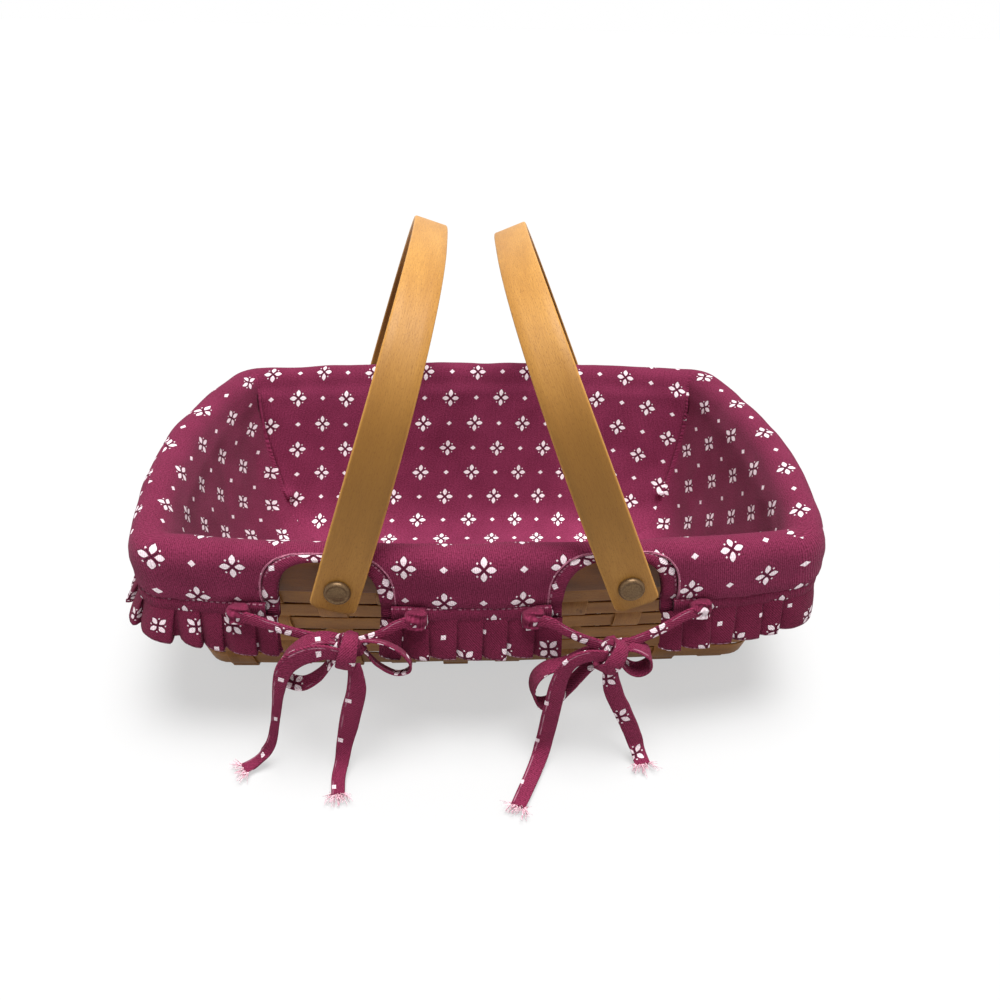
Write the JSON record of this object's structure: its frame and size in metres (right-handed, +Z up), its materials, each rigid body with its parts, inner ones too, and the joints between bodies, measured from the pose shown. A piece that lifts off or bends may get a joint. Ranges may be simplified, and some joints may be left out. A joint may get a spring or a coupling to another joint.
{
  "type": "lined basket",
  "caption": "Flared splint-woven basket with two riveted swing handles and a removable gathered cloth liner tied round the handle feet.",
  "frame": {"origin": "middle of the base on the surface it stands on", "axes": "+X along the length, +Y from the front wall to the back wall, +Z up"},
  "size_m": [0.3768, 0.3494, 0.2268],
  "materials": {
    "splint_wood": "thin hardwood splints, light honey stain, satin",
    "rim_wood": "hardwood band, honey stain, satin",
    "handle_wood": "steam-bent hardwood, honey stain, worn satin",
    "rivet_metal": "aged bronze, dull",
    "liner_cloth": "printed cotton, burgundy with a small pale sprig",
    "ruffle_cloth": "the same printed cotton, cut on the bias and pleated",
    "tie_cloth": "the same printed cotton, folded and stitched, frayed ends"
  },
  "bodies": {
    "basket": {"cross_stake_1": "splint_wood", "cross_stake_2": "splint_wood", "cross_stake_3": "splint_wood", "cross_stake_4": "splint_wood", "cross_stake_5": "splint_wood", "cross_stake_6": "splint_wood", "cross_stake_7": "splint_wood", "cross_stake_8": "splint_wood", "cross_stake_9": "splint_wood", "cross_stake_10": "splint_wood", "long_stake_1": "splint_wood", "long_stake_2": "splint_wood", "long_stake_3": "splint_wood", "long_stake_4": "splint_wood", "long_stake_5": "splint_wood", "weaver_1": "splint_wood", "weaver_2": "splint_wood", "weaver_3": "splint_wood", "weaver_4": "splint_wood", "weaver_5": "splint_wood", "weaver_6": "splint_wood", "outer_rim_band": "rim_wood", "inner_rim_band": "rim_wood", "rivet_front_left": "rivet_metal", "burr_front_left": "rivet_metal", "spacer_front_left": "rim_wood", "rivet_front_right": "rivet_metal", "burr_front_right": "rivet_metal", "spacer_front_right": "rim_wood", "rivet_back_left": "rivet_metal", "burr_back_left": "rivet_metal", "spacer_back_left": "rim_wood", "rivet_back_right": "rivet_metal", "burr_back_right": "rivet_metal", "spacer_back_right": "rim_wood", "liner_tub": "liner_cloth", "liner_skirt": "liner_cloth", "casing_front": "liner_cloth", "ruffle_front": "ruffle_cloth", "casing_right": "liner_cloth", "ruffle_right": "ruffle_cloth", "casing_back": "liner_cloth", "ruffle_back": "ruffle_cloth", "casing_left": "liner_cloth", "ruffle_left": "ruffle_cloth", "bow_front_left": "tie_cloth", "bow_front_right": "tie_cloth", "bow_back_left": "tie_cloth", "bow_back_right": "tie_cloth", "tie_tail_front_left_1": "tie_cloth", "tie_tail_front_left_2": "tie_cloth", "tie_tail_front_right_1": "tie_cloth", "tie_tail_front_right_2": "tie_cloth", "tie_tail_back_left_1": "tie_cloth", "tie_tail_back_left_2": "tie_cloth", "tie_tail_back_right_1": "tie_cloth", "tie_tail_back_right_2": "tie_cloth"},
    "left_handle": {"handle_left": "handle_wood"},
    "right_handle": {"handle_right": "handle_wood"}
  },
  "joints": [
    {"name": "left_handle_swing", "type": "hinge", "parent": "basket", "child": "left_handle", "pos_m": [-0.0676, 0, 0.093], "axis": [0, 1, 0], "range_deg": [-88, 7]},
    {"name": "right_handle_swing", "type": "hinge", "parent": "basket", "child": "right_handle", "pos_m": [0.0676, 0, 0.093], "axis": [0, 1, 0], "range_deg": [-3, 92]}
  ]
}
